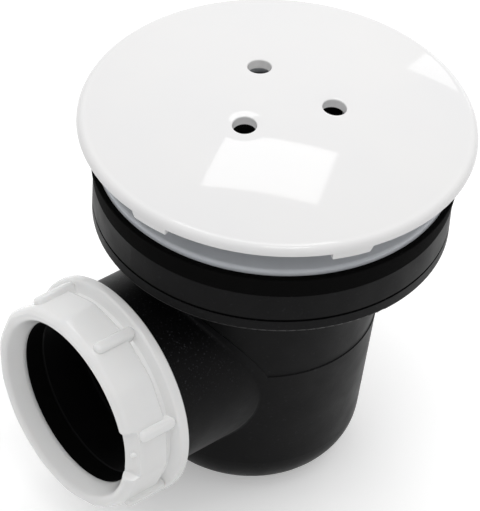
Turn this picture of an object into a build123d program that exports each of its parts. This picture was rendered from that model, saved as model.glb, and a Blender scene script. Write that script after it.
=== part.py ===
from build123d import *
import os
from math import cos, pi, sqrt

# Shower trap for a 90 mm tray hole and a 50 mm waste pipe.
# Millimetres, +Z up. The origin is where the axis of the tray hole meets the surface that the
# trap stands on, and the outlet leaves along +X.

# Cup and outlet of the body
cup_base_r = 33.0           # radius of the cup's side, carried down to the base
cup_base_round = 16.0       # round of the base edge
cup_flare = 5.5             # how much wider the cup's side is under the head
cup_offset = 3.8            # distance of the cup's axis from the head's, towards the outlet
cup_crease_z = 52.7         # height of the crease in the cup's side
cup_crease_step = 0.3       # how far the side steps in above the crease
body_wall = 3.0
pipe_d = 50.0               # waste pipe that the outlet takes
pipe_clearance = 0.4        # radial room for the pipe in the socket
spigot_wall = 3.5
spigot_length = 27.2        # how far the spigot reaches past the cup's side
spigot_root_round = 1.2
spigot_mouth_chamfer = 0.8
socket_depth = 14.0
socket_stop = 1.5           # width of the shoulder that the pipe stops against
outlet_floor_gap = 11.5     # room between the nut and the floor

# Head of the body
head_z = 83.3               # underside of the head
head_h = 13.5
head_round = 1.0            # round of the head's lower edge
head_wall = 3.0
head_groove_rise = 4.0      # fine groove round the head, above its underside
head_groove_h = 0.8
head_groove_depth = 0.6
collar_wall = 3.0           # wall that carries the thread of the clamp ring
channel_w = 3.9             # channel between the collar and the outer wall
channel_ribs = 8            # stiffening ribs across the channel
channel_rib_t = 2.0
channel_rib_h = 7.0

# Tray gasket
gasket_h = 7.2
gasket_overhang = 0.1       # how far its underside reaches past the head
gasket_flare = 1.0          # how much further its top reaches
gasket_bead = 1.5           # bead that drops into the channel of the head
gasket_clearance = 0.4
gasket_corner_round = 0.5

# Clamp ring
skirt_d = 84.0              # threaded skirt, passes a 90 mm tray hole
skirt_wall = 3.4
thread_clearance = 0.4
skirt_end_gap = 0.9         # from the end of the skirt to the floor of the head
flange_reach = 9.7          # how far the plate reaches past the skirt
flange_edge = 2.0           # thickness at the outer edge
flange_dish = 0.6           # fall of the top face towards the throat
flange_edge_round = 0.9
seat_width = 3.6            # ledge in the throat that carries the dip tube
seat_h = 2.5
key_slots = 4               # slots for the key that turns the ring
key_slot_w = 6.0
key_slot_depth = 1.6
key_slot_h = 6.0

# Water cup
water_cup_gap = 2.2         # room between the water cup and the nearest side of the body
water_cup_lift = 13.3       # room under the water cup
water_cup_flare = 2.5       # how much wider its rim is than its base
water_cup_wall = 2.0
water_cup_floor = 2.2
water_cup_round = 3.0

# Dip tube and its ring
dip_flange_h = 4.0
dip_flange_clearance = 0.5
dip_rim_t = 1.2             # rim that lines the throat
dip_rim_drop = 0.8          # from the clamp ring's face down to the rim
funnel_rim = 5.6            # from the throat in to the mouth of the funnel
funnel_h = 14.7
funnel_wall = 2.2
tube_wall = 2.0
water_gap = 6.5             # way for the water between the tube and the base of the water cup
tube_end_gap = 6.8          # way for the water under the end of the tube
water_seal = 50.0           # from the end of the tube to the rim of the water cup
o_ring_d = 2.4              # section of the ring
o_ring_groove_depth = 2.1
o_ring_groove_w = 2.8
o_ring_seat_gap = 0.05
fins = 3                    # fins that centre the water cup on the tube
fin_t = 2.0
fin_h = 32.0
fin_shoulder = 1.0          # how far a fin reaches past the rim of the water cup
fin_clearance = 0.15

# Domed cover
cover_d = 115.0
cover_wall = 2.4
cover_edge_round = 2.4
dome_rise = 7.2             # from the shoulder of the edge to the top of the dome
cover_lift = 10.2           # from the clamp ring to the lower edge of the cover
cover_turn = 11.4           # how far the cover is turned from the outlet, in degrees
lift_holes = 3
lift_hole_d = 6.9
lift_hole_circle_r = 15.8
feet = 6
foot_w = 12.0
foot_h = 2.2
foot_t = 2.6
foot_inset = 0.4
foot_slant = 1.6            # slant of one end of each foot
leg_w = 6.0
leg_t = 1.8
leg_clearance = 0.3

# Compression nut, seal and washer
nut_grip = 8.5              # how much of the spigot is inside the nut
nut_mouth = 6.2             # from the shoulder on the washer to the front of the nut
nut_wall = 2.3              # wall at the flats
nut_ribs = 7
nut_rib_turn = 19.5         # first rib, from the top towards +Y, in degrees
nut_rib_w = 3.4
nut_rib_rise = 2.1          # above the flats
nut_rib_round = 1.0
nut_collar_rise = 2.4       # above the flats
nut_collar_w = 4.0
nut_collar_round = 0.8
nut_groove_depth = 0.4      # below the flats
nut_groove_w = 1.6
nut_front_round = 2.2
nut_lip_w = 3.3             # from the flats to the mouth, across the front
nut_hole_clearance = 0.2    # room between the nut's hole and the socket's radius
nut_hole_w = 1.0
gate_turn = 82.0            # recess in the front for the moulding gate, from the top, in degrees
gate_span = 30.0            # in degrees
gate_depth = 1.6            # below the front, at the mouth
gate_fall = 1.6             # how much deeper it is at the flats
gate_stub_r = 1.0
gate_stub_h = 1.2
seal_h = 5.4
seal_lip_h = 1.1            # inner lip that reaches through the washer
seal_lip_t = 1.3
seal_squeeze = 0.1          # the seal is this much tighter on the pipe than the socket
seal_taper = 1.2
washer_h = 1.2
washer_gap = 0.2

# Radii worked out from the sizes above
skirt_r = skirt_d / 2
throat_r = skirt_r - skirt_wall
flange_r = skirt_r + flange_reach
collar_bore_r = skirt_r + thread_clearance
collar_r = collar_bore_r + collar_wall
channel_r = collar_r + channel_w
head_r = channel_r + head_wall
cup_neck_r = cup_base_r + cup_flare
dip_edge_r = throat_r - dip_flange_clearance
dip_rim_r = dip_edge_r - dip_rim_t
water_cup_base_r = cup_base_r - body_wall - cup_offset - water_cup_gap
water_cup_rim_r = water_cup_base_r + water_cup_flare
tube_r = water_cup_base_r - water_cup_wall - water_gap
tube_bore_r = tube_r - tube_wall
funnel_r = throat_r - funnel_rim
socket_r = pipe_d / 2 + pipe_clearance
spigot_r = socket_r + spigot_wall
seal_bore_r = socket_r - seal_squeeze
nut_bore_r = spigot_r + thread_clearance
nut_flats = 2 * nut_ribs
nut_flat_r = nut_bore_r + nut_wall
nut_corner_r = nut_flat_r / cos(pi / nut_flats)
nut_collar_r = nut_flat_r + nut_collar_rise
nut_lip_r = nut_flat_r - nut_lip_w

# Levels above the floor
outlet_z = nut_collar_r + outlet_floor_gap
head_floor_z = head_z + body_wall
head_top_z = head_z + head_h
gasket_top_z = head_top_z + gasket_h
flange_top_z = gasket_top_z + flange_edge
skirt_end_z = head_floor_z + skirt_end_gap
seat_z = skirt_end_z + seat_h
dip_top_z = seat_z + dip_flange_h
dip_rim_z = flange_top_z - flange_dish - dip_rim_drop
water_cup_z = body_wall + water_cup_lift
tube_end_z = water_cup_z + water_cup_floor + tube_end_gap
water_rim_z = tube_end_z + water_seal
cover_z = flange_top_z + cover_lift
dome_shoulder_r = cover_d / 2 - cover_edge_round
dome_shoulder_z = cover_z + cover_edge_round
dome_top_z = dome_shoulder_z + dome_rise
dome_radius = (dome_shoulder_r**2 + dome_rise**2) / (2 * dome_rise)
dome_centre_z = dome_top_z - dome_radius

# Places along the outlet, from the head's axis
spigot_end = cup_offset + cup_base_r + spigot_length
nut_start = spigot_end - nut_grip
nut_shoulder = spigot_end + seal_h
nut_end = nut_shoulder + nut_mouth

cut_over = 1.0              # how far a cutting shape runs past the face that it cuts


def turned(corners, rounds=None):
    """Solid of revolution about Z, from (radius, height) corners and the rounds of some of them."""
    corner_rounds = [0.0] * len(corners)
    for index, size in (rounds or {}).items():
        corner_rounds[index] = size
    outline = FilletPolyline(*corners, radius=corner_rounds, close=True)
    return revolve(Plane.XZ * make_face(outline), Axis.Z)


def ring(inner_r, outer_r, low_z, high_z):
    """Plain ring about Z."""
    return turned([(inner_r, low_z), (outer_r, low_z), (outer_r, high_z), (inner_r, high_z)])


def disc(radius, low_z, high_z):
    """Plain disc about Z."""
    return turned([(0, low_z), (radius, low_z), (radius, high_z), (0, high_z)])


def on_outlet(solid):
    """Turn a solid made about Z so that it lies on the outlet's axis, with its top outwards."""
    return Pos(0, 0, outlet_z) * Rot(0, 90, 0) * solid


def around(count, start, solid):
    """Copies of a solid about Z as one shape, the first one turned by the start angle."""
    return Part() + [Rot(0, 0, start + copy * 360 / count) * solid for copy in range(count)]


def on_cup(solid):
    """Set a solid made about Z on the cup's axis."""
    return Pos(cup_offset, 0, 0) * solid


def cup_side_r(height):
    """Outer radius of the cup's side at a height."""
    return cup_base_r + cup_flare * height / head_z


def trap_body():
    """Head, off-centre cup and outlet spigot in one moulding."""
    cup_top_z = head_z + body_wall / 2
    cup = on_cup(turned(
        [(0, 0), (cup_base_r, 0), (cup_side_r(cup_top_z), cup_top_z), (0, cup_top_z)],
        {1: cup_base_round},
    ))
    spigot = on_outlet(disc(spigot_r, cup_offset, spigot_end))
    shell = cup + spigot
    shell = fillet(new_edges(cup, spigot, combined=shell), spigot_root_round)

    # Above the crease the side of the cup steps in, except at the root of the spigot.
    crease_r = cup_side_r(cup_crease_z)
    step = turned([
        (crease_r - cup_crease_step, cup_crease_z + cup_crease_step),
        (crease_r + cut_over, cup_crease_z - cut_over),
        (cup_side_r(head_top_z) + cut_over, head_top_z),
        (cup_side_r(head_top_z) - cup_crease_step, head_top_z),
    ])
    root = on_outlet(disc(spigot_r + spigot_root_round + cut_over, 0, 2 * spigot_end))
    shell -= on_cup(step) - root

    head = turned(
        [(0, head_z), (head_r, head_z), (head_r, head_top_z), (0, head_top_z)],
        {1: head_round},
    )
    groove_r = head_r - head_groove_depth
    groove_z = head_z + head_groove_rise
    head -= ring(groove_r, head_r + cut_over, groove_z, groove_z + head_groove_h)
    head -= ring(collar_r, channel_r, head_floor_z, head_top_z + cut_over)
    rib_reach = channel_r + head_wall / 2
    rib = Pos(rib_reach / 2, 0, head_floor_z + channel_rib_h / 2) * Box(
        rib_reach, channel_rib_t, channel_rib_h
    )
    rib_band = ring(collar_r - collar_wall / 2, rib_reach, head_floor_z, head_floor_z + channel_rib_h)
    head += rib_band & around(channel_ribs, 180 / channel_ribs, rib)
    body = shell + head

    # Inside of the cup, the way from the head down into it, and the bore of the collar.
    inside_base_r = cup_base_r - body_wall
    inside_top_r = cup_neck_r - body_wall
    body -= on_cup(turned(
        [(0, body_wall), (inside_base_r, body_wall), (inside_top_r, head_z), (0, head_z)],
        {1: cup_base_round - body_wall},
    ))
    mouth = on_cup(disc(inside_top_r, head_z - cut_over, head_top_z + cut_over))
    body -= mouth & disc(collar_bore_r, head_z - cut_over, head_top_z + cut_over)
    body -= disc(collar_bore_r, head_floor_z, head_top_z + cut_over)

    # Socket for the pipe, its stop, and the bore into the cup.
    socket_end = spigot_end - socket_depth
    mouth_r = socket_r + spigot_mouth_chamfer
    bore = turned([
        (0, cup_offset),
        (socket_r - socket_stop, cup_offset),
        (socket_r - socket_stop, socket_end),
        (socket_r, socket_end),
        (socket_r, spigot_end - spigot_mouth_chamfer),
        (mouth_r, spigot_end),
        (mouth_r, spigot_end + cut_over),
        (0, spigot_end + cut_over),
    ])
    return body - on_outlet(bore)


def tray_gasket():
    """Rubber ring on the head, with a bead that locates it in the channel."""
    inner_r = collar_bore_r + gasket_clearance
    bead_in = collar_r + gasket_clearance
    bead_out = channel_r - gasket_clearance
    return turned(
        [
            (inner_r, head_top_z),
            (bead_in, head_top_z),
            (bead_in, head_top_z - gasket_bead),
            (bead_out, head_top_z - gasket_bead),
            (bead_out, head_top_z),
            (head_r + gasket_overhang, head_top_z),
            (head_r + gasket_overhang + gasket_flare, gasket_top_z),
            (inner_r, gasket_top_z),
        ],
        {5: gasket_corner_round, 6: gasket_corner_round},
    )


def top_flange():
    """Clamp ring: dished plate, threaded skirt and the ledge that carries the dip tube."""
    flange = turned(
        [
            (skirt_r, gasket_top_z),
            (flange_r, gasket_top_z),
            (flange_r, flange_top_z),
            (throat_r, flange_top_z - flange_dish),
            (throat_r, seat_z),
            (throat_r - seat_width, seat_z),
            (throat_r - seat_width, skirt_end_z),
            (skirt_r, skirt_end_z),
        ],
        {2: flange_edge_round, 3: flange_edge_round},
    )
    slot_reach = throat_r + key_slot_depth
    slot = Pos(slot_reach / 2, 0, flange_top_z - key_slot_h / 2) * Box(
        slot_reach, key_slot_w, key_slot_h
    )
    return flange - around(key_slots, 0, slot)


def dip_tube():
    """Rim, funnel, tube and fins that lift out of the throat in one piece."""
    groove_r = dip_edge_r - o_ring_groove_depth
    groove_z = seat_z + (dip_flange_h - o_ring_groove_w) / 2
    slope = funnel_h / (funnel_r - tube_bore_r)
    under_drop = funnel_wall * sqrt(1 + slope**2)

    def under_z(radius):
        return dip_top_z - under_drop - slope * (funnel_r - radius)

    under_r = funnel_r - (dip_top_z - under_drop - seat_z) / slope
    tube = turned([
        (tube_bore_r, tube_end_z),
        (tube_r, tube_end_z),
        (tube_r, under_z(tube_r)),
        (under_r, seat_z),
        (dip_edge_r, seat_z),
        (dip_edge_r, groove_z),
        (groove_r, groove_z),
        (groove_r, groove_z + o_ring_groove_w),
        (dip_edge_r, groove_z + o_ring_groove_w),
        (dip_edge_r, dip_rim_z),
        (dip_rim_r, dip_rim_z),
        (dip_rim_r, dip_top_z),
        (funnel_r, dip_top_z),
        (tube_bore_r, dip_top_z - funnel_h),
    ])
    root_r = tube_r - tube_wall / 2
    low_z = water_rim_z - fin_h
    shoulder_r = water_cup_rim_r + fin_shoulder
    fin_outline = Polyline(
        (root_r, low_z),
        (water_cup_bore(low_z) - fin_clearance, low_z),
        (water_cup_bore(water_rim_z) - fin_clearance, water_rim_z),
        (shoulder_r, water_rim_z),
        (shoulder_r, under_z(shoulder_r) + funnel_wall / 2),
        (root_r, under_z(root_r) + funnel_wall / 2),
        close=True,
    )
    fin = extrude(Plane.XZ * make_face(fin_outline), fin_t / 2, both=True)
    return tube + around(fins, 180 / fins, fin)


def dip_tube_o_ring():
    """Rubber ring in the edge of the dip tube's flange."""
    groove_r = dip_edge_r - o_ring_groove_depth
    centre_r = groove_r + o_ring_seat_gap + o_ring_d / 2
    section = Plane.XZ * Pos(centre_r, seat_z + dip_flange_h / 2) * Circle(o_ring_d / 2)
    return revolve(section, Axis.Z)


def water_cup_bore(height):
    """Inner radius of the water cup at a height."""
    share = (height - water_cup_z) / (water_rim_z - water_cup_z)
    return water_cup_base_r + share * (water_cup_rim_r - water_cup_base_r) - water_cup_wall


def trap_cup():
    """Bucket that holds the water round the end of the dip tube."""
    floor_z = water_cup_z + water_cup_floor
    inner_round = water_cup_round - water_cup_wall / 2
    return turned(
        [
            (0, water_cup_z),
            (water_cup_base_r, water_cup_z),
            (water_cup_rim_r, water_rim_z),
            (water_cup_bore(water_rim_z), water_rim_z),
            (water_cup_bore(floor_z), floor_z),
            (0, floor_z),
        ],
        {1: water_cup_round, 4: inner_round},
    )


def cover():
    """Domed cover with lift holes, feet under its rim and legs that stand on the dip tube."""
    edge_r = cover_d / 2
    inner_radius = dome_radius - cover_wall
    inner_edge_r = sqrt(inner_radius**2 - (cover_z - dome_centre_z) ** 2)
    inner_top_z = dome_top_z - cover_wall
    section = [
        TangentArc((0, dome_top_z), (dome_shoulder_r, dome_shoulder_z), tangent=(1, 0)),
        TangentArc((dome_shoulder_r, dome_shoulder_z), (edge_r, cover_z), tangent=(1, 0)),
        Line((edge_r, cover_z), (inner_edge_r, cover_z)),
        TangentArc((0, inner_top_z), (inner_edge_r, cover_z), tangent=(1, 0)),
        Line((0, inner_top_z), (0, dome_top_z)),
    ]
    shell = revolve(Plane.XZ * make_face(section), Axis.Z)

    # Feet come in pairs whose square ends face each other.
    foot_low_z = cover_z - foot_h
    foot_top_z = cover_z + cover_wall / 4
    foot_r = edge_r - foot_inset
    foot_band = ring(foot_r - foot_t, foot_r, foot_low_z, foot_top_z)
    foot_side = Polyline(
        (-foot_w / 2 + foot_slant, foot_low_z),
        (foot_w / 2, foot_low_z),
        (foot_w / 2, foot_top_z),
        (-foot_w / 2, foot_top_z),
        (-foot_w / 2, foot_low_z + foot_slant),
        close=True,
    )
    foot = extrude(Plane.YZ * make_face(foot_side), cover_d)
    pairs = feet // 2
    shell += foot_band & around(pairs, cover_turn, foot)
    shell += foot_band & around(pairs, cover_turn + 360 / feet, mirror(foot, Plane.XZ))

    # Legs stand on the flange of the dip tube, under the feet that have no hole.
    leg_r = dip_rim_r - leg_clearance
    leg_top_z = dome_centre_z + sqrt((dome_radius - cover_wall / 2) ** 2 - leg_r**2)
    leg_band = ring(leg_r - leg_t, leg_r, dip_top_z, leg_top_z)
    leg = Pos(leg_r / 2 + cut_over, 0, (dip_top_z + leg_top_z) / 2) * Box(
        leg_r + cut_over, leg_w, leg_top_z - dip_top_z
    )
    shell += leg_band & around(lift_holes, cover_turn + 180 / lift_holes, leg)

    hole = Pos(lift_hole_circle_r, 0, 0) * disc(lift_hole_d / 2, cover_z, dome_top_z + cut_over)
    return shell - around(lift_holes, cover_turn, hole)


def outlet_nut():
    """Compression nut: rear collar, flats with grip ribs, a flared mouth and a recess for the gate."""
    hole_r = socket_r + nut_hole_clearance
    groove_r = nut_flat_r - nut_groove_depth
    collar_end = nut_start + nut_collar_w
    flats_start = collar_end + nut_groove_w
    nut = turned(
        [
            (nut_bore_r, nut_start),
            (nut_collar_r, nut_start),
            (nut_collar_r, collar_end),
            (groove_r, collar_end),
            (groove_r, flats_start),
            (nut_corner_r, flats_start),
            (nut_corner_r, nut_end),
            (nut_lip_r, nut_end),
            (hole_r, nut_shoulder + nut_hole_w),
            (hole_r, nut_shoulder),
            (nut_bore_r, nut_shoulder),
        ],
        {1: nut_collar_round, 2: nut_collar_round, 6: nut_front_round, 7: nut_collar_round},
    )
    first_rib = 180 - nut_rib_turn
    flats_plan = RegularPolygon(nut_corner_r, nut_flats, rotation=first_rib)
    flats = Pos(0, 0, flats_start) * extrude(flats_plan, nut_end + cut_over - flats_start)
    nut -= disc(nut_collar_r, flats_start, nut_end + cut_over) - flats

    rib_end = nut_end - nut_front_round
    rib_low_r = groove_r - nut_collar_round
    rib_plan = SlotOverall(rib_end - collar_end, nut_rib_w, rotation=90)
    rib = extrude(rib_plan, nut_flat_r + nut_rib_rise - rib_low_r)
    rib = fillet(rib.faces().sort_by(Axis.Z)[-1].edges(), nut_rib_round)
    rib_place = Plane(origin=(rib_low_r, 0, (collar_end + rib_end) / 2), x_dir=(0, 1, 0), z_dir=(1, 0, 0))
    nut += around(nut_ribs, first_rib, rib_place * rib)

    # The front is set back where the moulding gate was, and the stub of the gate stands in the recess.
    def recess_z(radius):
        return nut_end - gate_depth - gate_fall * (radius - nut_lip_r) / nut_lip_w

    recess = turned([
        (hole_r, recess_z(hole_r)),
        (nut_collar_r, recess_z(nut_collar_r)),
        (nut_collar_r, nut_end + cut_over),
        (hole_r, nut_end + cut_over),
    ])
    sector_side = PolarLocations(nut_collar_r / cos(pi / nut_ribs), 2, -gate_span / 2, gate_span).locations
    sector_plan = Polyline((0, 0), *[place.position for place in sector_side], close=True)
    sector = extrude(make_face(sector_plan), nut_end + cut_over)
    gate_place = Rot(0, 0, 180 - gate_turn)
    nut -= gate_place * (recess & sector)
    stub_r = (nut_lip_r + nut_flat_r) / 2
    stub_z = recess_z(stub_r)
    stub = Pos(stub_r, 0, stub_z) * Cone(gate_stub_r, gate_stub_r / 2, 2 * gate_stub_h)
    return on_outlet(nut + gate_place * stub)


def slip_washer():
    """Thin ring that lets the nut turn on the seal."""
    inner_r = seal_bore_r + seal_lip_t + washer_gap
    return on_outlet(ring(inner_r, nut_bore_r - washer_gap, nut_shoulder - washer_h, nut_shoulder))


def outlet_seal():
    """Rubber ring on the end of the spigot, tapered, with a lip through the washer."""
    outer_r = spigot_r - washer_gap
    face = nut_shoulder - washer_h
    seal = turned([
        (seal_bore_r, spigot_end),
        (outer_r, spigot_end),
        (outer_r, face - seal_taper),
        (outer_r - seal_taper, face),
        (seal_bore_r + seal_lip_t, face),
        (seal_bore_r + seal_lip_t, face + seal_lip_h),
        (seal_bore_r, face + seal_lip_h),
    ])
    return on_outlet(seal)


os.makedirs("parts", exist_ok=True)
for build in (
    trap_body,
    tray_gasket,
    top_flange,
    dip_tube,
    dip_tube_o_ring,
    trap_cup,
    cover,
    outlet_nut,
    slip_washer,
    outlet_seal,
):
    export_step(build(), f"parts/{build.__name__}.step")
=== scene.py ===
# %% [markdown]
# # A shower trap
#
# A shower trap sits under the hole of a shower tray. A glossy white cover hides the
# hole, a clamp ring and a rubber gasket grip the tray between them, and the black
# body below holds the water that keeps the air of the drain out of the room. The
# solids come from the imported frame, in metres, with the floor at zero. This lesson
# makes again the two white pieces that the light shows most, adds the screw threads,
# gives every piece its finish, and sets a small studio round it.

# %% Load the frame
import math

import bmesh
import bpy
from mathutils import Matrix, Vector


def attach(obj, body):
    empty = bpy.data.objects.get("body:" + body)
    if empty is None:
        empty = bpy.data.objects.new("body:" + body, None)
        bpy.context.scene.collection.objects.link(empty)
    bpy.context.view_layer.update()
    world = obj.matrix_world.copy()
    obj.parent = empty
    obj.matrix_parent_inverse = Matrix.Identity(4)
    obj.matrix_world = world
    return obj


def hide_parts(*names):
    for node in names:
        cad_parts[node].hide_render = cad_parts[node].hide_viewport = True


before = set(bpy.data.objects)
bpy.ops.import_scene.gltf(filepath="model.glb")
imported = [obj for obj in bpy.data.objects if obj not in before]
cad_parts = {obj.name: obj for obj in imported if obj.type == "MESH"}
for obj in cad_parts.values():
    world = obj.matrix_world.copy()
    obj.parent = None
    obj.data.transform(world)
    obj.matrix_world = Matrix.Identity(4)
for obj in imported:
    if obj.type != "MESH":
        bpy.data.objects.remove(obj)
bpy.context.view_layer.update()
MM = 0.001
print("CAD nodes:", ", ".join(sorted(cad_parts)))

# %% [markdown]
# ## Working in edit mode from a script
#
# An operator acts on all that is selected, so each step starts by clearing the
# selection. A turned piece starts as one vertex: a small plane is merged to a point,
# the point is extruded round the outline of the wall, and the outline is spun about
# its axis. Spin leaves a seam, so the doubles are merged and the normals recalculated.

# %% Helpers for turned pieces
WELD = 0.002 * MM


def edit_only(piece):
    """Leave one piece selected and open it in edit mode."""
    if bpy.context.mode != "OBJECT":
        bpy.ops.object.mode_set(mode="OBJECT")
    bpy.ops.object.select_all(action="DESELECT")
    bpy.context.view_layer.objects.active = piece
    piece.select_set(True)
    bpy.ops.object.mode_set(mode="EDIT")


def start_point(name, place):
    """Start a piece as a single selected vertex."""
    bpy.ops.object.select_all(action="DESELECT")
    bpy.ops.mesh.primitive_plane_add(size=MM)
    piece = bpy.context.object
    piece.name = name
    edit_only(piece)
    bpy.ops.mesh.select_mode(type="VERT")
    bpy.ops.mesh.select_all(action="SELECT")
    bpy.ops.mesh.merge(type="CENTER")
    bpy.ops.transform.translate(value=place)
    return piece


def extrude_to(here, there):
    """Extrude the selected vertex from one place to another."""
    step = Vector(there) - Vector(here)
    bpy.ops.mesh.extrude_region_move(TRANSFORM_OT_translate={"value": step})


def spin_outline(centre, axis, steps):
    """Spin the whole outline once round an axis and close the seam."""
    bpy.ops.mesh.select_all(action="SELECT")
    bpy.ops.mesh.remove_doubles(threshold=WELD)
    bpy.ops.mesh.spin(steps=steps, angle=2 * math.pi, center=centre, axis=axis)
    bpy.ops.mesh.select_all(action="SELECT")
    bpy.ops.mesh.remove_doubles(threshold=WELD)
    bpy.ops.mesh.normals_make_consistent(inside=False)


print("doubles are merged within", round(WELD / MM, 4), "mm")

# %% [markdown]
# ## The domed cover
#
# The cover is the piece that people see in the shower: a shallow dome of gloss ABS,
# with a small quarter round at its rim that meets the dome in a fine crease, three
# lift holes, feet under the rim and three legs that stand on the insert. A sphere cut
# flat would give the dome, but not the wall. Here the wall's outline is drawn with
# spins: one vertex is swept about the dome's centre, then about the rim's centre, and
# back along the inner dome. A second spin, about the drain's axis, makes the shell.

# %% Cover shell
DOME_RADIUS = 214.43
DOME_CENTRE = -88.63
SHOULDER = (55.1, 118.6)
RIM = (57.5, 116.2)
INNER_RADIUS = 212.03
INNER_EDGE = (54.785, 116.2)
COVER_STEPS = 288


def on_drain(r, z):
    """A point of the section through the drain's axis, from millimetres."""
    return Vector((r * MM, 0, z * MM))


cover = start_point("cover_shell", on_drain(0, DOME_CENTRE + DOME_RADIUS))
bpy.ops.mesh.spin(
    steps=72, angle=-math.asin(SHOULDER[0] / DOME_RADIUS),
    center=on_drain(0, DOME_CENTRE), axis=(0, 1, 0),
)
bpy.ops.mesh.spin(
    steps=10, angle=-math.pi / 2, center=on_drain(SHOULDER[0], RIM[1]), axis=(0, 1, 0),
)
extrude_to(on_drain(*RIM), on_drain(*INNER_EDGE))
bpy.ops.mesh.spin(
    steps=24, angle=math.asin(INNER_EDGE[0] / INNER_RADIUS),
    center=on_drain(0, DOME_CENTRE), axis=(0, 1, 0),
)
spin_outline((0, 0, 0), (0, 0, 1), COVER_STEPS)
bpy.ops.object.mode_set(mode="OBJECT")
cover_size = [round(d / MM, 2) for d in cover.dimensions]
print("cover shell:", len(cover.data.polygons), "faces,", cover_size)

# %% [markdown]
# The feet are short arcs of a square bar under the rim. A box would have to be bent, so
# a square face is spun through the foot's own angle instead, and the bar is then turned
# until its middle lies over +X. The legs further on are bars of the same kind.

# %% Bar for a foot
FOOT_W = 12.0
FOOT_R = (54.5, 57.1)
FOOT_Z = (114.0, 116.9)
BAR_STEPS = 12


def arc_bar(name, radii, heights, width):
    """A square bar bent round the drain's axis, with its middle over +X."""
    sweep = width / radii[1]
    corners = [
        (radii[0], heights[0]), (radii[1], heights[0]),
        (radii[1], heights[1]), (radii[0], heights[1]),
    ]
    bar = start_point(name, on_drain(*corners[0]))
    for here, there in zip(corners, corners[1:]):
        extrude_to(on_drain(*here), on_drain(*there))
    bpy.ops.mesh.select_all(action="SELECT")
    bpy.ops.mesh.edge_face_add()
    bpy.ops.mesh.spin(steps=BAR_STEPS, angle=sweep, center=(0, 0, 0), axis=(0, 0, 1))
    bpy.ops.mesh.select_all(action="SELECT")
    bpy.ops.mesh.normals_make_consistent(inside=False)
    bpy.ops.object.mode_set(mode="OBJECT")
    middle = max((vert.co.y for vert in bar.data.vertices), key=abs)
    bar.data.transform(Matrix.Rotation(-math.copysign(sweep / 2, middle), 4, "Z"))
    return bar


foot = arc_bar("foot", FOOT_R, FOOT_Z, FOOT_W)
print("foot:", len(foot.data.polygons), "faces")

# %% [markdown]
# One end of each foot is slanted, so the low edge of that end is bevelled. A script
# selects edges by a test of where their ends lie. The six feet are three pairs that face
# each other, so every second copy is mirrored, and a mirrored mesh needs its normals
# flipped.

# %% Six feet
COVER_TURN = math.radians(11.4)
FOOT_SLANT = 1.6


def pick_edges(piece, wanted):
    """In edit mode, select the edges whose two ends both pass a test of their place."""
    bpy.ops.mesh.select_mode(type="EDGE")
    bpy.ops.mesh.select_all(action="DESELECT")
    shape = bmesh.from_edit_mesh(piece.data)
    for edge in shape.edges:
        edge.select_set(all(wanted(vert.co) for vert in edge.verts))
    bmesh.update_edit_mesh(piece.data)


def copies_of(piece, moves):
    """Copies of a piece, each with its mesh moved by a matrix. The piece itself is deleted."""
    made = []
    for move in moves:
        copy = piece.copy()
        copy.data = piece.data.copy()
        bpy.context.collection.objects.link(copy)
        copy.data.transform(move)
        if move.determinant() < 0:
            copy.data.flip_normals()
        made.append(copy)
    bpy.data.objects.remove(piece)
    return made


foot_end = min(vert.co.y for vert in foot.data.vertices) * FOOT_R[0] / FOOT_R[1]
edit_only(foot)
pick_edges(
    foot, lambda spot: spot.y < foot_end + WELD and abs(spot.z - FOOT_Z[0] * MM) < WELD,
)
bpy.ops.mesh.bevel(offset=FOOT_SLANT * MM, offset_type="OFFSET", segments=1)
bpy.ops.object.mode_set(mode="OBJECT")
mirror = Matrix.Scale(-1, 4, (0, 1, 0))
foot_places = [
    Matrix.Rotation(COVER_TURN + math.radians(60 * step), 4, "Z") for step in range(6)
]
feet = copies_of(foot, [
    place @ mirror if step % 2 else place for step, place in enumerate(foot_places)
])
print("feet:", len(feet))

# %% [markdown]
# The three legs stand on the insert and hold the cover up, so that water runs in under
# its rim. Each is a bar that reaches half way into the wall of the dome, narrower at the
# low end, so that it draws out of the mould. A Boolean then makes the feet, the legs and
# the shell one moulding, as they are on the real cover.

# %% Legs under the cover
LEG_W = 6.0
LEG_TAPER = 0.5
LEG_R = (34.8, 36.6)
LEG_SINK = 1.2
LEG_Z = (93.7, DOME_CENTRE + math.sqrt((DOME_RADIUS - LEG_SINK) ** 2 - LEG_R[1] ** 2))


def finish_modifier(piece, kind, **settings):
    """Add a modifier to a piece, set it and apply it."""
    bpy.ops.object.select_all(action="DESELECT")
    bpy.context.view_layer.objects.active = piece
    piece.select_set(True)
    modifier = piece.modifiers.new(kind.title(), kind)
    for field, value in settings.items():
        setattr(modifier, field, value)
    bpy.ops.object.modifier_apply(modifier=modifier.name)


def combine(piece, tools, operation):
    """Join some tools to one mesh, and add them to a piece or cut them out of it."""
    bpy.ops.object.select_all(action="DESELECT")
    for tool in tools:
        tool.select_set(True)
    bpy.context.view_layer.objects.active = tools[0]
    bpy.ops.object.join()
    finish_modifier(piece, "BOOLEAN", object=tools[0], operation=operation, solver="EXACT")
    bpy.data.objects.remove(tools[0])


leg = arc_bar("leg", LEG_R, LEG_Z, LEG_W)
edit_only(leg)
pick_edges(leg, lambda spot: abs(spot.z - LEG_Z[0] * MM) < WELD)
bpy.ops.transform.resize(value=(1, LEG_TAPER, 1), center_override=(0, 0, 0))
bpy.ops.object.mode_set(mode="OBJECT")
legs = copies_of(leg, [
    Matrix.Rotation(COVER_TURN + math.radians(60 + 120 * step), 4, "Z") for step in range(3)
])
combine(cover, feet + legs, "UNION")
print("cover with feet and legs:", len(cover.data.polygons), "faces")

# %% [markdown]
# The three lift holes take two fingers. Each has a small round at its edge and a thicker
# boss under it. The cutting pin is not a plain cylinder: its outline flares at the top
# with the round of the edge, and is spun. The boss is a cylinder with its low edge
# bevelled.

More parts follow.
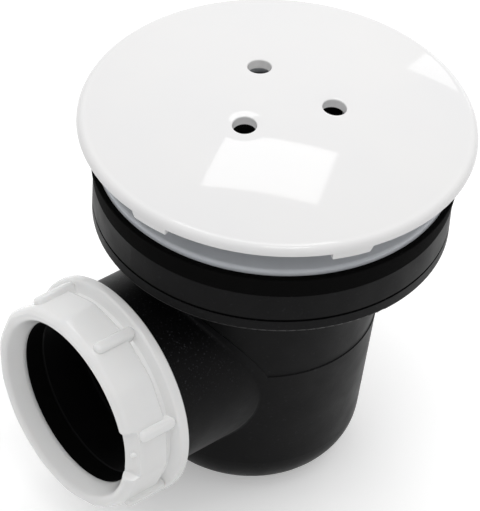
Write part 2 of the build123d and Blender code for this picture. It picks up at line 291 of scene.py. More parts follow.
# %% Hole pin and boss
HOLE_R = 3.45
HOLE_ROUND = 0.4
HOLE_STEPS = 64
PIN_Z = (-8.0, 1.0)
PIN_SWEEP = math.radians(88)
PIN_LIP = 0.05
BOSS_R = 5.2
BOSS_Z = (-3.1, -1.2)
BOSS_ROUND = 0.4

pin_outline = [(0, PIN_Z[0]), (HOLE_R, PIN_Z[0]), (HOLE_R, -HOLE_ROUND)]
pin = start_point("hole_pin", on_drain(*pin_outline[0]))
for here, there in zip(pin_outline, pin_outline[1:]):
    extrude_to(on_drain(*here), on_drain(*there))
bpy.ops.mesh.spin(
    steps=8, angle=-PIN_SWEEP, center=on_drain(HOLE_R + HOLE_ROUND, -HOLE_ROUND),
    axis=(0, 1, 0),
)
flare_r = HOLE_R + HOLE_ROUND * (1 - math.cos(PIN_SWEEP))
flare_z = -HOLE_ROUND * (1 - math.sin(PIN_SWEEP))
pin_lip = on_drain(flare_r + PIN_LIP, PIN_Z[1])
extrude_to(on_drain(flare_r, flare_z), pin_lip)
extrude_to(pin_lip, on_drain(0, PIN_Z[1]))
spin_outline((0, 0, 0), (0, 0, 1), HOLE_STEPS)
bpy.ops.object.mode_set(mode="OBJECT")

bpy.ops.object.select_all(action="DESELECT")
bpy.ops.mesh.primitive_cylinder_add(
    vertices=HOLE_STEPS, radius=BOSS_R * MM, depth=(BOSS_Z[1] - BOSS_Z[0]) * MM,
    location=on_drain(0, sum(BOSS_Z) / 2),
)
boss = bpy.context.object
bpy.ops.object.transform_apply(location=True, rotation=True, scale=True)
edit_only(boss)
pick_edges(boss, lambda spot: abs(spot.z - BOSS_Z[0] * MM) < WELD)
bpy.ops.mesh.bevel(offset=BOSS_ROUND * MM, offset_type="OFFSET", segments=3)
bpy.ops.object.mode_set(mode="OBJECT")
print("hole pin:", len(pin.data.polygons), "faces, boss:", len(boss.data.polygons), "faces")

# %% [markdown]
# Pins and bosses lean with the dome, so that the round is even. One Boolean adds the
# bosses and another cuts the holes. About each hole is a shallow dish, which the gloss
# shows as a bright ring. It could be sculpted by hand, but a curve is more even: each
# vertex of the outer skin near a hole is pressed down, most at the edge and not at all
# further out.

# %% Lift holes
HOLE_CIRCLE = 15.8
DISH_R = 7.0
DISH_SLOPE = math.tan(math.radians(9))
SKIN_DEPTH = 0.5


def smooth_sides(piece, degrees):
    """Shade a piece smooth, with its sharper edges kept."""
    bpy.ops.object.select_all(action="DESELECT")
    bpy.context.view_layer.objects.active = piece
    piece.select_set(True)
    bpy.ops.object.shade_smooth_by_angle(angle=math.radians(degrees))


lean = math.asin(HOLE_CIRCLE / DOME_RADIUS)
seat = Matrix.Translation(on_drain(0, DOME_CENTRE)) @ Matrix.Rotation(lean, 4, "Y")
seat = seat @ Matrix.Translation((0, 0, DOME_RADIUS * MM))
hole_places = [
    Matrix.Rotation(COVER_TURN + math.radians(120 * step), 4, "Z") @ seat for step in range(3)
]
combine(cover, copies_of(boss, hole_places), "UNION")
combine(cover, copies_of(pin, hole_places), "DIFFERENCE")
to_hole = [place.inverted() for place in hole_places]
for vert in cover.data.vertices:
    for seen_from in to_hole:
        spot = seen_from @ vert.co / MM
        out = math.hypot(spot.x, spot.y)
        if out < DISH_R and spot.z > -SKIN_DEPTH:
            fall = DISH_SLOPE * (DISH_R - max(out, HOLE_R)) ** 2 / (2 * (DISH_R - HOLE_R))
            vert.co.z -= fall * MM
smooth_sides(cover, degrees=12)
print("cover with lift holes:", len(cover.data.polygons), "faces")

# %% [markdown]
# ## The compression nut
#
# The nut clamps the seal round the waste pipe. It is moulded in white polypropylene:
# a smooth collar at the rear, a groove, a barrel with fourteen faint flats, seven grip
# ribs, and a lip that is set back where the mould was filled. A Boolean of a prism
# would leave hard corners, so the barrel is spun round, its rings are bevelled, and the
# flats are then pressed in by moving vertices inwards.

# %% Nut barrel
OUTLET_Z = 45.5
NUT_FRONT = 75.6
MOUTH_R = 28.3
FLATS = 14
FLAT_R = 31.6
HALF_FLAT = math.pi / FLATS
CORNER_R = FLAT_R / math.cos(HALF_FLAT)
FIRST_RIB = math.radians(19.5)
NUT_STEPS = 336
NEAR = 0.01


def on_outlet(x, r):
    """A point of the section through the outlet's axis, above it, from millimetres."""
    return Vector((x * MM, 0, (OUTLET_Z + r) * MM))


def about_outlet(place):
    """Place along the outlet and radius in millimetres, and turn from the top towards +Y."""
    y, z = place.y / MM, place.z / MM - OUTLET_Z
    return place.x / MM, math.hypot(y, z), math.atan2(y, z)


nut_outline = [
    (55.5, 29.3), (55.5, 34.0), (58.7, 34.0), (60.0, 30.5), (61.3, 30.5), (61.8, CORNER_R),
    (64.0, CORNER_R), (67.0, CORNER_R), (70.0, CORNER_R), (NUT_FRONT, CORNER_R),
    (NUT_FRONT, MOUTH_R), (73.9, 27.42), (72.2, 26.53), (70.4, 25.6), (69.4, 25.6),
    (69.4, 29.3), (64.0, 29.3), (60.0, 29.3),
]
nut_rounds = {
    (55.5, 29.3): (0.5, 2), (55.5, 34.0): (0.8, 6), (58.7, 34.0): (0.7, 6),
    (60.0, 30.5): (0.25, 2), (61.8, CORNER_R): (0.8, 5), (NUT_FRONT, CORNER_R): (2.6, 12),
    (NUT_FRONT, MOUTH_R): (1.3, 8), (70.4, 25.6): (0.4, 2), (69.4, 25.6): (0.2, 2),
}
nut = start_point("nut_shell", on_outlet(*nut_outline[0]))
for here, there in zip(nut_outline, nut_outline[1:] + nut_outline[:1]):
    extrude_to(on_outlet(*here), on_outlet(*there))
spin_outline(on_outlet(0, 0), (1, 0, 0), NUT_STEPS)
for (ring_x, ring_r), (size, segments) in nut_rounds.items():

    def on_ring(place):
        x, r, _ = about_outlet(place)
        return abs(x - ring_x) < NEAR and abs(r - ring_r) < NEAR

    pick_edges(nut, on_ring)
    bpy.ops.mesh.bevel(
        offset=size * MM, offset_type="OFFSET", segments=segments, profile=0.5,
    )
bpy.ops.object.mode_set(mode="OBJECT")
print("nut barrel:", len(nut.data.polygons), "faces")

# %% [markdown]
# The flats and the gate recess are pressed into the spun mesh. On the barrel a vertex
# that lies outside its flat moves in to it, with the corner between two flats eased off,
# and in the recess the front moves back to a slope.

# %% Flats and gate recess
GATE_TURN = math.radians(82)
GATE_HALF = math.radians(15)
RECESS_DEPTH = 2.2
RECESS_FALL = 1.6
CORNER_EASE = 0.05
BARREL_X = 61.0
BARREL_R = 30.0
PRESS_EASE = 1.2


def recess_x(r):
    """How far forward the front may stand in the gate recess."""
    return NUT_FRONT - RECESS_DEPTH - RECESS_FALL * (r - MOUTH_R) / (FLAT_R - MOUTH_R)


pressed = 0
for vert in nut.data.vertices:
    x, r, turn = about_outlet(vert.co)
    if x > BARREL_X and r > BARREL_R:
        from_corner = (turn - FIRST_RIB + HALF_FLAT) % (2 * HALF_FLAT) - HALF_FLAT
        off_flat = max(0.0, HALF_FLAT - math.hypot(from_corner, CORNER_EASE))
        share = min(1.0, max(0.0, (r - BARREL_R) / PRESS_EASE))
        inwards = CORNER_R - FLAT_R / math.cos(off_flat)
        r_new = r - share * inwards
        vert.co.y *= r_new / r
        vert.co.z = (OUTLET_Z + (vert.co.z / MM - OUTLET_Z) * r_new / r) * MM
        pressed += 1
    x, r, turn = about_outlet(vert.co)
    if abs(turn - GATE_TURN) < GATE_HALF and x > recess_x(r):
        vert.co.x = recess_x(r) * MM
        pressed += 1
print("vertices pressed in:", pressed)

# %% [markdown]
# Pressing leaves a hard step at both ends of the recess. The smooth vertices operator
# works on the selection only, so the vertices of the lip near the two ends are picked
# and eased a little.

# %% Soft ends of the recess
END_HALF = math.radians(1.7)
LIP_X = 71.5
LIP_R = 26.5


def pick_verts(piece, wanted):
    """In edit mode, select the vertices that pass a test of their place, and count them."""
    bpy.ops.mesh.select_mode(type="VERT")
    bpy.ops.mesh.select_all(action="DESELECT")
    shape = bmesh.from_edit_mesh(piece.data)
    for vert in shape.verts:
        vert.select_set(wanted(vert.co))
    bmesh.update_edit_mesh(piece.data)
    return sum(vert.select for vert in shape.verts)


def at_recess_end(place):
    """Whether a place is on the lip, near one end of the gate recess."""
    x, r, turn = about_outlet(place)
    near_end = abs(abs(turn - GATE_TURN) - GATE_HALF) < END_HALF
    return x > LIP_X and r > LIP_R and near_end


edit_only(nut)
eased = pick_verts(nut, at_recess_end)
bpy.ops.mesh.vertices_smooth(factor=0.4, repeat=1)
bpy.ops.object.mode_set(mode="OBJECT")
print("vertices eased:", eased)

# %% [markdown]
# A grip rib gives wet hands a hold on the nut. It is a bar with round ends: it starts as
# a cylinder, its two halves are pulled apart along the outlet, and the edge round its
# top is bevelled.

# %% One grip rib
RIB_W = 3.7
RIB_SPAN = (59.0, 72.9)
RIB_R = (29.8, 33.8)
RIB_ROUND = 1.4

rib_middle = sum(RIB_SPAN) / 2
bpy.ops.object.select_all(action="DESELECT")
bpy.ops.mesh.primitive_cylinder_add(
    vertices=40, radius=RIB_W / 2 * MM, depth=(RIB_R[1] - RIB_R[0]) * MM,
    location=on_outlet(rib_middle, sum(RIB_R) / 2),
)
rib = bpy.context.object
bpy.ops.object.transform_apply(location=True, rotation=True, scale=True)
half_pull = (RIB_SPAN[1] - RIB_SPAN[0] - RIB_W) / 2
edit_only(rib)
for side in (-1, 1):
    pick_verts(rib, lambda place: (place.x / MM - rib_middle) * side > NEAR)
    bpy.ops.transform.translate(value=(side * half_pull * MM, 0, 0))
pick_edges(rib, lambda place: abs(place.z / MM - OUTLET_Z - RIB_R[1]) < NEAR)
bpy.ops.mesh.bevel(offset=RIB_ROUND * MM, offset_type="OFFSET", segments=6)
bpy.ops.object.mode_set(mode="OBJECT")
print("grip rib:", len(rib.data.polygons), "faces")

# %% [markdown]
# Seven copies go round the outlet. A turn about an axis that misses the origin takes
# three steps: move the axis to the origin, turn, and move back. The rib beside the gate
# recess is a shorter copy, because the front is set back there.

# %% Ribs round the nut
RIBS = 7
GATE_RIB = 1
GATE_RIB_LENGTH = 0.9

to_axis = Matrix.Translation(on_outlet(0, 0))


def round_outlet(turn):
    """A turn about the outlet's axis, from the top towards +Y."""
    return to_axis @ Matrix.Rotation(-turn, 4, "X") @ to_axis.inverted()


rib_rear = Matrix.Translation(on_outlet(RIB_SPAN[0], 0))
shorter = rib_rear @ Matrix.Scale(GATE_RIB_LENGTH, 4, (1, 0, 0)) @ rib_rear.inverted()
rib_places = [
    round_outlet(FIRST_RIB + math.radians(360 / RIBS * step)) for step in range(RIBS)
]
ribs = copies_of(rib, [
    place @ shorter if step == GATE_RIB else place for step, place in enumerate(rib_places)
])
print("grip ribs:", len(ribs))

# %% [markdown]
# The gate stub is what is left where the nut was broken off its runner. It starts as a
# cone that lies along the outlet, half sunk in the recess, and its free end is rounded
# with a bevel. A Boolean then makes the ribs and the stub one moulding with the barrel.

# %% Gate stub
STUB_R = 29.95
STUB_RADII = (1.05, 0.65)
STUB_LENGTH = 2.6
STUB_ROUND = 0.4

bpy.ops.object.select_all(action="DESELECT")
bpy.ops.mesh.primitive_cone_add(
    vertices=24, radius1=STUB_RADII[0] * MM, radius2=STUB_RADII[1] * MM,
    depth=STUB_LENGTH * MM, location=on_outlet(recess_x(STUB_R), STUB_R),
    rotation=(0, math.pi / 2, 0),
)
stub = bpy.context.object
bpy.ops.object.transform_apply(location=True, rotation=True, scale=True)
edit_only(stub)
stub_end = (recess_x(STUB_R) + STUB_LENGTH / 2) * MM
pick_edges(stub, lambda spot: abs(spot.x - stub_end) < WELD)
bpy.ops.mesh.bevel(offset=STUB_ROUND * MM, offset_type="OFFSET", segments=4)
bpy.ops.object.mode_set(mode="OBJECT")
stubs = copies_of(stub, [round_outlet(GATE_TURN)])
combine(nut, ribs + stubs, "UNION")
smooth_sides(nut, degrees=32)
nut_size = [round(d / MM, 2) for d in nut.dimensions]
print("nut:", len(nut.data.polygons), "faces,", nut_size)

# %% [markdown]
# ## Screw threads
#
# The clamp ring screws into the collar of the body, and the nut screws onto the
# spigot. The threads are hidden at rest and come into view as the pieces unscrew. A
# Screw modifier winds a small section about the axis. Both threads rise 3 mm a turn,
# the same as the joints, and stand lower than the room between the two pieces.

# %% Thread ridges
PITCH = 3.0
ROOT_SINK = 0.15
ROOT_W = 1.5
CREST = (0.5, 1.0)
TURN_STEPS = 96
SPIGOT_R = 28.9


def thread_ridge(name, root_r, crest_r, start, turns):
    """A ridge wound about Z, from its root and crest radii, with closed ends."""
    section = [
        (root_r - ROOT_SINK, start), (root_r - ROOT_SINK, start + ROOT_W),
        (crest_r, start + CREST[1]), (crest_r, start + CREST[0]),
    ]
    ridge = start_point(name, on_drain(*section[0]))
    for here, there in zip(section, section[1:] + section[:1]):
        extrude_to(on_drain(*here), on_drain(*there))
    bpy.ops.mesh.select_all(action="SELECT")
    bpy.ops.mesh.remove_doubles(threshold=WELD)
    bpy.ops.object.mode_set(mode="OBJECT")
    finish_modifier(
        ridge, "SCREW", angle=2 * math.pi * turns, screw_offset=PITCH * MM * turns,
        steps=round(TURN_STEPS * turns), render_steps=round(TURN_STEPS * turns), axis="Z",
    )
    edit_only(ridge)
    bpy.ops.mesh.select_mode(type="EDGE")
    bpy.ops.mesh.select_all(action="DESELECT")
    bpy.ops.mesh.select_non_manifold(extend=False, use_boundary=True)
    bpy.ops.mesh.fill_holes(sides=4)
    bpy.ops.mesh.select_all(action="SELECT")
    bpy.ops.mesh.normals_make_consistent(inside=False)
    bpy.ops.object.mode_set(mode="OBJECT")
    smooth_sides(ridge, degrees=30)
    return ridge


clamp_thread = thread_ridge(
    "clamp_ring_thread", root_r=42.0, crest_r=42.3, start=88.6, turns=4,
)
spigot_thread = thread_ridge(
    "spigot_thread", root_r=SPIGOT_R, crest_r=29.2, start=56.8, turns=1.9,
)
spigot_thread.data.transform(to_axis @ Matrix.Rotation(math.pi / 2, 4, "Y"))
for piece in (clamp_thread, spigot_thread):
    print(piece.name, len(piece.data.polygons), "faces")

# %% [markdown]
# ## Finishes
#
# Every finish is named for its plastic and how it was moulded. The helper below adds
# one shader node with its settings and links. Colours are written as sRGB hex and
# turned to linear by one function, and every pattern is scaled from a size in
# millimetres, because Object coordinates are metres here.

# %% Material helpers


def colour(text):
    """Linear colour from an sRGB hex text."""
    parts = [int(text[place:place + 2], 16) / 255 for place in (1, 3, 5)]
    linear = [
        part / 12.92 if part <= 0.04045 else ((part + 0.055) / 1.055) ** 2.4 for part in parts
    ]
    return (*linear, 1.0)


def add_node(tree, kind, settings=None, links=None):
    """Add one node, set its fields and sockets, and link its inputs."""
    node = tree.nodes.new(kind)
    for key, value in (settings or {}).items():
        if isinstance(key, str) and key in node.bl_rna.properties:
            setattr(node, key, value)
    for key, value in (settings or {}).items():
        if not isinstance(key, str) or key not in node.bl_rna.properties:
            node.inputs[key].default_value = value
    for key, socket in (links or {}).items():
        tree.links.new(socket, node.inputs[key])
    return node


def per_mm(size):
    """Texture scale that makes a feature about this many millimetres across."""
    return 1 / (size * MM)


def new_finish(name):
    """An empty material with its Principled shader and the piece's Object coordinates."""
    finish = bpy.data.materials.new(name)
    finish.use_nodes = True
    finish.node_tree.nodes.clear()
    tree = finish.node_tree
    shader = add_node(tree, "ShaderNodeBsdfPrincipled")
    add_node(tree, "ShaderNodeOutputMaterial", links={"Surface": shader.outputs["BSDF"]})
    spot = add_node(tree, "ShaderNodeTexCoord").outputs["Object"]
    return finish, tree, shader, spot


print("sRGB #808080 is", round(colour("#808080")[0], 3), "in linear light")

# %% [markdown]
# **Gloss ABS** is used for the cover. The tool is polished, so the plastic mirrors a
# lamp as a clear patch, and the cooling leaves only a very slight unevenness. A clear
# coat would double the reflection, so the gloss is the plastic's own: a low roughness
# that drifts a little, and a shallow bump over some millimetres.

# %% Gloss white ABS
gloss_abs, tree, shader, spot = new_finish("gloss_moulded_abs")
shader.inputs["IOR"].default_value = 1.54
shader.inputs["Specular IOR Level"].default_value = 0.3
drift = add_node(
    tree, "ShaderNodeTexNoise", {"Scale": per_mm(28), "Detail": 2.0}, {"Vector": spot},
)
tint = add_node(
    tree, "ShaderNodeMix",
    {"data_type": "RGBA", 6: colour("#e9e9ea"), 7: colour("#eeedec")}, {0: drift.outputs["Fac"]},
)
tree.links.new(tint.outputs[2], shader.inputs["Base Color"])
polish = add_node(
    tree, "ShaderNodeMapRange",
    {"From Min": 0.3, "From Max": 0.7, "To Min": 0.035, "To Max": 0.065},
    {"Value": drift.outputs["Fac"]},
)
tree.links.new(polish.outputs["Result"], shader.inputs["Roughness"])
peel = add_node(
    tree, "ShaderNodeTexNoise", {"Scale": per_mm(3.5), "Detail": 1.0}, {"Vector": spot},
)
skin = add_node(
    tree, "ShaderNodeBump", {"Strength": 0.2, "Distance": 0.01 * MM},
    {"Height": peel.outputs["Fac"]},
)
tree.links.new(skin.outputs["Normal"], shader.inputs["Normal"])
print(gloss_abs.name, "for the cover")

# %% [markdown]
# ** Cool white ABS** is used for the clamp ring. Its tool has a plain finish, so it is dull
# beside the gloss of the dome. Its colour is drawn greyer and bluer than the cover's: the
# blue is partly the plastic's own tint and partly a painted blue cast of the light, and the
# grey is painted shade from the cover above it.

# %% Satin cool white ABS, with painted shade
cool_abs_painted_shade, tree, shader, spot = new_finish("satin_cool_abs_painted_shade")
shader.inputs["IOR"].default_value = 1.54
shader.inputs["Specular IOR Level"].default_value = 0.3
drift = add_node(
    tree, "ShaderNodeTexNoise", {"Scale": per_mm(15), "Detail": 3.0}, {"Vector": spot},
)
# painted shade and a painted blue cast: both colours are greyer and bluer than the cover's white
tint = add_node(
    tree, "ShaderNodeMix",
    {"data_type": "RGBA", 6: colour("#c6cad0"), 7: colour("#d0d3d7")}, {0: drift.outputs["Fac"]},
)
tree.links.new(tint.outputs[2], shader.inputs["Base Color"])
satin = add_node(
    tree, "ShaderNodeMapRange", {"From Min": 0.3, "From Max": 0.7, "To Min": 0.28, "To Max": 0.4},
    {"Value": drift.outputs["Fac"]},
)
tree.links.new(satin.outputs["Result"], shader.inputs["Roughness"])
print(cool_abs_painted_shade.name, "for the clamp ring and its thread")

# %% [markdown]
# **White polypropylene** is used for the nut and the slip washer. It is a waxy plastic:
# light goes a little way in, and the tool has a fine satin texture, so highlights are
# soft. A small share of subsurface light gives the waxy softness at the edges. The real
# texture is about a tenth of a millimetre, too fine to show, so it is drawn at 0.9 mm.

# %% Satin white polypropylene
satin_pp, tree, shader, spot = new_finish("satin_moulded_polypropylene")
shader.inputs["IOR"].default_value = 1.49
shader.inputs["Subsurface Weight"].default_value = 0.12
shader.inputs["Subsurface Scale"].default_value = 1.2 * MM
shader.inputs["Subsurface Radius"].default_value = (1.0, 0.9, 0.8)
drift = add_node(
    tree, "ShaderNodeTexNoise", {"Scale": per_mm(12), "Detail": 3.0}, {"Vector": spot},
)
tint = add_node(
    tree, "ShaderNodeMix",
    {"data_type": "RGBA", 6: colour("#efefef"), 7: colour("#f4f4f3")}, {0: drift.outputs["Fac"]},
)
tree.links.new(tint.outputs[2], shader.inputs["Base Color"])
satin = add_node(
    tree, "ShaderNodeMapRange", {"From Min": 0.3, "From Max": 0.7, "To Min": 0.1, "To Max": 0.18},
    {"Value": drift.outputs["Fac"]},
)
tree.links.new(satin.outputs["Result"], shader.inputs["Roughness"])
grit = add_node(
    tree, "ShaderNodeTexNoise", {"Scale": per_mm(0.9), "Detail": 2.0}, {"Vector": spot},
)
skin = add_node(
    tree, "ShaderNodeBump", {"Strength": 0.25, "Distance": 0.03 * MM},
    {"Height": grit.outputs["Fac"]},
)
tree.links.new(skin.outputs["Normal"], shader.inputs["Normal"])
print(satin_pp.name, "for the nut and the slip washer")

# %% [markdown]
# ** Black polypropylene** is used for the body and the lift-out insert. Handling leaves
# pale specks all over. More pale specks are drawn on the faces that look up: they are partly
# settled dust and partly painted glints, where the light falls on the pebbled skin. None are
# drawn inside the outlet, so the distance from the outlet's axis masks them there. An image
# would need a UV map, and noise does without one. Specks and dust are about a tenth of a
# millimetre on the real part, and are drawn at 0.6 to 1.1 mm, so that they show.

# %% Dust and painted glints on black polypropylene
BORE_R = 26.0

black_pp, tree, shader, spot = new_finish("moulded_black_polypropylene")
specks = add_node(
    tree, "ShaderNodeTexNoise", {"Scale": per_mm(1.1), "Detail": 3.0}, {"Vector": spot},
)
scuff = add_node(
    tree, "ShaderNodeMapRange", {"From Min": 0.62, "From Max": 0.78, "To Min": 0.0, "To Max": 0.2},
    {"Value": specks.outputs["Fac"]},
)
normal = add_node(tree, "ShaderNodeTexCoord").outputs["Normal"]
facing = add_node(tree, "ShaderNodeSeparateXYZ", links={0: normal})
# painted glints: faces that look up get pale specks, partly settled dust and partly light falling
# on them
up_facing = add_node(
    tree, "ShaderNodeMapRange", {"From Min": 0.15, "From Max": 0.8, "To Min": 0.0, "To Max": 0.9},
    {"Value": facing.outputs["Z"]},
)
grains = add_node(
    tree, "ShaderNodeTexNoise", {"Scale": per_mm(0.6), "Detail": 3.0}, {"Vector": spot},
)
grain = add_node(
    tree, "ShaderNodeMapRange", {"From Min": 0.6, "From Max": 0.75, "To Min": 0.0, "To Max": 1.0},
    {"Value": grains.outputs["Fac"]},
)
dust_and_glints = add_node(
    tree, "ShaderNodeMath", {"operation": "MULTIPLY_ADD"},
    {0: up_facing.outputs["Result"], 1: grain.outputs["Result"], 2: scuff.outputs["Result"]},
)
off_axis = add_node(
    tree, "ShaderNodeVectorMath",
    {"operation": "MULTIPLY_ADD", 1: (0, 1, 1), 2: (0, 0, -OUTLET_Z * MM)}, {0: spot},
)
reach = add_node(
    tree, "ShaderNodeVectorMath", {"operation": "LENGTH"}, {0: off_axis.outputs[0]},
)
outside = add_node(
    tree, "ShaderNodeMapRange", {"From Min": BORE_R * MM, "From Max": SPIGOT_R * MM},
    {"Value": reach.outputs["Value"]},
)
dust_and_glints = add_node(
    tree, "ShaderNodeMath", {"operation": "MULTIPLY"},
    {0: dust_and_glints.outputs[0], 1: outside.outputs["Result"]},
)
print(black_pp.name, "has", len(tree.nodes), "nodes so far")

# %% [markdown]
# Carbon black takes nearly all the light, so the eye sees little but sheen, on the sides
# that turn away. The tool is spark eroded, which leaves a fine pebbled skin. It is drawn
# at 0.7 mm, coarser than the real one, so that it shows. The dust and the painted glints
# only lighten the colour.

# %% Moulded black polypropylene
shader.inputs["IOR"].default_value = 1.49
shader.inputs["Specular IOR Level"].default_value = 0.08
shader.inputs["Sheen Weight"].default_value = 0.12
shader.inputs["Sheen Roughness"].default_value = 0.37
# pale specks: handling marks, dust, and painted glints on the faces that look up
tint = add_node(
    tree, "ShaderNodeMix",
    {"data_type": "RGBA", 6: colour("#070708"), 7: colour("#3c3d40")}, {0: dust_and_glints.outputs[0]},
)
tree.links.new(tint.outputs[2], shader.inputs["Base Color"])
drift = add_node(
    tree, "ShaderNodeTexNoise", {"Scale": per_mm(9), "Detail": 4.0}, {"Vector": spot},
)
sheen = add_node(
    tree, "ShaderNodeMapRange", {"From Min": 0.3, "From Max": 0.7, "To Min": 0.42, "To Max": 0.56},
    {"Value": drift.outputs["Fac"]},
)
tree.links.new(sheen.outputs["Result"], shader.inputs["Roughness"])
pebble = add_node(
    tree, "ShaderNodeTexNoise", {"Scale": per_mm(0.7), "Detail": 2.0}, {"Vector": spot},
)
skin = add_node(
    tree, "ShaderNodeBump", {"Strength": 0.35, "Distance": 0.05 * MM},
    {"Height": pebble.outputs["Fac"]},
)
tree.links.new(skin.outputs["Normal"], shader.inputs["Normal"])
print(black_pp.name, "for the body and the insert")

# %% [markdown]
# **EPDM rubber** is used for the gasket, the pipe seal and the ring on the insert. It
# is dull and very dark, with the fine grain of a moulded and trimmed part, which is drawn
# at 0.6 mm, coarser than the real one, so that it shows.

# %% Moulded rubber
rubber, tree, shader, spot = new_finish("moulded_epdm_rubber")
shader.inputs["IOR"].default_value = 1.48
shader.inputs["Specular IOR Level"].default_value = 0.02
grain = add_node(
    tree, "ShaderNodeTexNoise", {"Scale": per_mm(0.6), "Detail": 3.0}, {"Vector": spot},
)
tint = add_node(
    tree, "ShaderNodeMix",
    {"data_type": "RGBA", 6: colour("#060606"), 7: colour("#0d0d0d")}, {0: grain.outputs["Fac"]},
)
tree.links.new(tint.outputs[2], shader.inputs["Base Color"])
dull = add_node(
    tree, "ShaderNodeMapRange", {"From Min": 0.3, "From Max": 0.7, "To Min": 0.72, "To Max": 0.86},
    {"Value": grain.outputs["Fac"]},
)
tree.links.new(dull.outputs["Result"], shader.inputs["Roughness"])
skin = add_node(
    tree, "ShaderNodeBump", {"Strength": 0.4, "Distance": 0.05 * MM},
    {"Height": grain.outputs["Fac"]},
)
tree.links.new(skin.outputs["Normal"], shader.inputs["Normal"])
print(rubber.name, "for the gasket, the seal and the ring")

# %% [markdown]
# ## Putting the pieces on their bodies
#
# A new piece rides on the body of the piece that it belongs to, so the cover lifts
# with the insert and the nut turns on the spigot. A CAD node whose shape is right
# stays, and only its material slots change.

# %% Bodies, slots and finishes
new_pieces = [
    (cover, "insert", "white_abs", gloss_abs),
    (nut, "nut", "white_pp", satin_pp),
    (clamp_thread, "clamp_ring", "white_abs", cool_abs_painted_shade),
    (spigot_thread, "root", "black_pp", black_pp),
]
for piece, body, slot, finish in new_pieces:
    piece.data.materials.clear()
    piece.data.materials.append(finish)
    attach(piece, body)
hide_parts("cover")
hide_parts("outlet_nut")

cad_finishes = {
    "trap_body": black_pp, "dip_tube": black_pp, "trap_cup": black_pp,
    "top_flange": cool_abs_painted_shade, "slip_washer": satin_pp,
    "tray_gasket": rubber, "outlet_seal": rubber, "dip_tube_o_ring": rubber,
}
for name, finish in cad_finishes.items():
    for material_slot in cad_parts[name].material_slots:
        material_slot.material = finish
print("finished:", ", ".join(cad_finishes))

# %% [markdown]
# ## Studio
#
# The trap stands on a white floor. The floor's own colour is white, and for the rays
# of the camera and of reflections it glows a little, so that it reaches the white of
# a studio sweep without more light on the object, while the shadow still shows.

# %% Floor
FLOOR_SIZE = 12
FLOOR_GLOW = 0.32


def seen_plainly(tree):
    """One for the rays of the camera, of reflections and through clear pieces, else zero."""
    rays = add_node(tree, "ShaderNodeLightPath")
    seen = rays.outputs["Is Camera Ray"]
    for kind in ("Is Glossy Ray", "Is Transmission Ray"):
        higher = add_node(
            tree, "ShaderNodeMath", {"operation": "MAXIMUM"}, {0: seen, 1: rays.outputs[kind]},
        )
        seen = higher.outputs[0]
    return seen


bpy.ops.object.select_all(action="DESELECT")
bpy.ops.mesh.primitive_plane_add(size=FLOOR_SIZE)
floor = bpy.context.object
floor.name = "studio_floor"
sweep, tree, shader, _ = new_finish("studio_sweep")
shader.inputs["Base Color"].default_value = colour("#f2f2f2")
shader.inputs["Roughness"].default_value = 0.9
shader.inputs["Specular IOR Level"].default_value = 0.0
shader.inputs["Emission Color"].default_value = (1, 1, 1, 1)
glow = add_node(
    tree, "ShaderNodeMath", {"operation": "MULTIPLY", 1: FLOOR_GLOW}, {0: seen_plainly(tree)},
)
tree.links.new(glow.outputs[0], shader.inputs["Emission Strength"])
floor.data.materials.append(sweep)
print(floor.name, FLOOR_SIZE, "m wide, with", sweep.name)

# %% [markdown]
# The room is a white tent. For the light that falls on the trap it is bright overhead
# and dim near the floor, which gives the round pieces their shading. The camera and the
# reflections see it as plain white, the same as the floor.

# %% World
SKY_AXIS = (-0.06, -0.07, 0.996)
SKY_LEVELS = (0.08, 1.28)

world = bpy.data.worlds.new("studio_world")
world.use_nodes = True
world.node_tree.nodes.clear()
tree = world.node_tree
heading = add_node(tree, "ShaderNodeTexCoord").outputs["Generated"]
facing = add_node(
    tree, "ShaderNodeVectorMath", {"operation": "DOT_PRODUCT", 1: SKY_AXIS}, {0: heading},
)
level = add_node(
    tree, "ShaderNodeMapRange",
    {"From Min": 0.0, "From Max": 1.0, "To Min": SKY_LEVELS[0], "To Max": SKY_LEVELS[1]},
    {"Value": facing.outputs["Value"]},
)
shown = add_node(
    tree, "ShaderNodeMix", {"data_type": "FLOAT", 3: 1.0},
    {0: seen_plainly(tree), 2: level.outputs["Result"]},
)
sky = add_node(
    tree, "ShaderNodeBackground", {"Color": (1, 1, 1, 1)}, {"Strength": shown.outputs[0]},
)
add_node(tree, "ShaderNodeOutputWorld", links={"Surface": sky.outputs["Background"]})
bpy.context.scene.world = world
print(world.name, "is set")

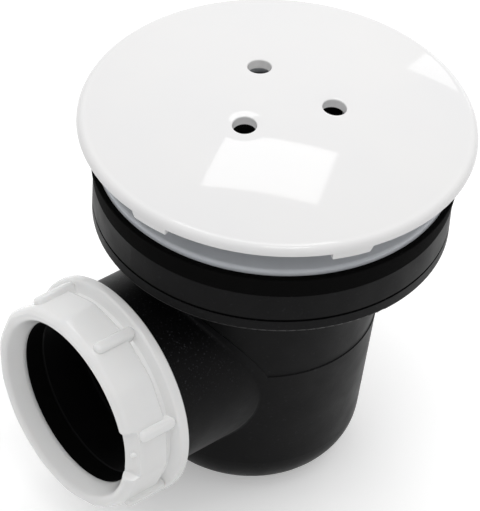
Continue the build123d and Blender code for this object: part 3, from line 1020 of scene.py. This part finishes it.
# %% [markdown]
# Three soft boxes light the trap. The first hangs level, above and behind. Its place
# and size come from the bright patch on the dome, because each corner of the patch
# mirrors one corner of the box. The second hangs overhead and draws the shadow on the
# floor, and the third stands low behind the trap, where the dome's edge mirrors it. A
# lamp's power is worked out from the brightness that its face should have.

# %% Soft boxes


def soft_box(name, spot, tilt, heading, width, depth, brightness):
    """A rectangular lamp that faces down, tilted from level and then turned about Z."""
    bpy.ops.object.select_all(action="DESELECT")
    bpy.ops.object.light_add(
        type="AREA", location=spot, rotation=(math.radians(tilt), 0, math.radians(heading)),
    )
    lamp = bpy.context.object
    lamp.name = name
    lamp.data.shape = "RECTANGLE"
    lamp.data.size = width
    lamp.data.size_y = depth
    lamp.data.energy = brightness * math.pi * width * depth
    print(name, "power", round(lamp.data.energy, 2), "W")


soft_box(
    "soft_box_above", (-0.406, -0.450, 1.01), tilt=0, heading=36.6,
    width=0.297, depth=0.318, brightness=3.8,
)
soft_box(
    "soft_box_overhead", (0.02, 0.18, 1.2), tilt=0, heading=40.6,
    width=0.25, depth=0.25, brightness=6.2,
)
soft_box(
    "soft_box_low", (-1.074, -0.497, 0.459), tilt=73.6, heading=-64,
    width=0.31, depth=0.25, brightness=1.5,
)

# %% [markdown]
# ## Camera
#
# The photograph looks down at 41 degrees with a long lens, a little rolled. Heading,
# tilt and roll are three turns, one after the other.

# %% Camera
CAMERA_SPOT = (0.45411, 0.48937, 0.65373)
HEADING, TILT, ROLL = (math.radians(angle) for angle in (137.83, 48.59, 4.1))
SENSOR_MM = 36
FOCAL_PX = 3000
FRAME_PX = 511

bpy.ops.object.select_all(action="DESELECT")
bpy.ops.object.camera_add(location=CAMERA_SPOT)
camera = bpy.context.object
turn = Matrix.Rotation(HEADING, 3, "Z")
turn = turn @ Matrix.Rotation(TILT, 3, "X")
turn = turn @ Matrix.Rotation(ROLL, 3, "Z")
camera.rotation_euler = turn.to_euler()
camera.data.sensor_width = SENSOR_MM
camera.data.lens = FOCAL_PX / FRAME_PX * SENSOR_MM
bpy.context.scene.camera = camera
bpy.context.scene.view_settings.view_transform = "Standard"
camera_place = [round(c, 3) for c in camera.location]
print("camera at", camera_place, "lens", round(camera.data.lens, 1), "mm")
